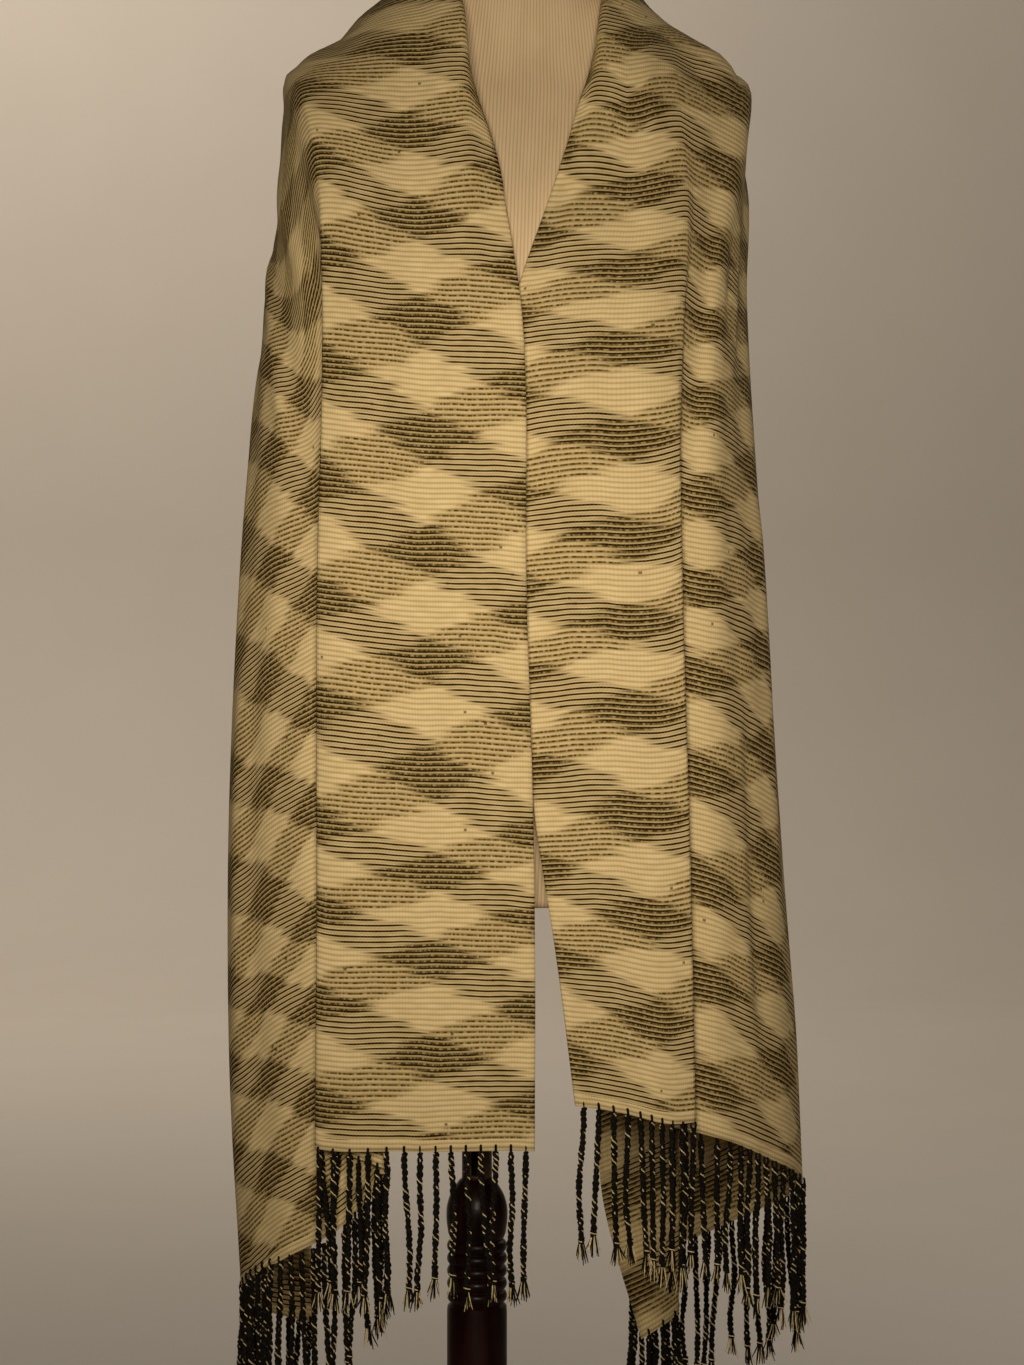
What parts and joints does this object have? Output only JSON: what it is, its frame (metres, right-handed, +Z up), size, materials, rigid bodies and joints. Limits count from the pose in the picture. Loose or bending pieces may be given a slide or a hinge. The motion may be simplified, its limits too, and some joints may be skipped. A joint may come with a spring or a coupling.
{
  "type": "draped shawl scarf with knotted fringe on a dress form stand",
  "caption": "Long woven shawl worn open over a limbless dress form on a turned post, with pleated front falls, a rolled neck edge and twisted knotted fringe.",
  "frame": {"origin": "centre of the underside of the round base, on the floor", "axes": "+Z up along the post, +X to the viewer's right when facing the front of the form, +Y towards the back of the form"},
  "size_m": [0.4606, 0.35, 1.54],
  "materials": {
    "shawl_cloth": "cream plain weave with variegated black weft that pools into light and dark diamonds",
    "fringe_yarn": "twisted black yarn flecked with cream",
    "form_jersey": "fine ribbed cream jersey",
    "rod_steel": "black painted steel",
    "collar_metal": "brown painted tube",
    "turned_wood": "dark mahogany stain, polished"
  },
  "bodies": {
    "root": {"scarf_left_front": "shawl_cloth", "scarf_right_front": "shawl_cloth", "scarf_back": "shawl_cloth", "fringe_left": "fringe_yarn", "fringe_right": "fringe_yarn", "dress_form": "form_jersey", "form_rod": "rod_steel", "post_collar": "collar_metal", "stand_post": "turned_wood", "stand_base": "turned_wood"}
  },
  "joints": []
}
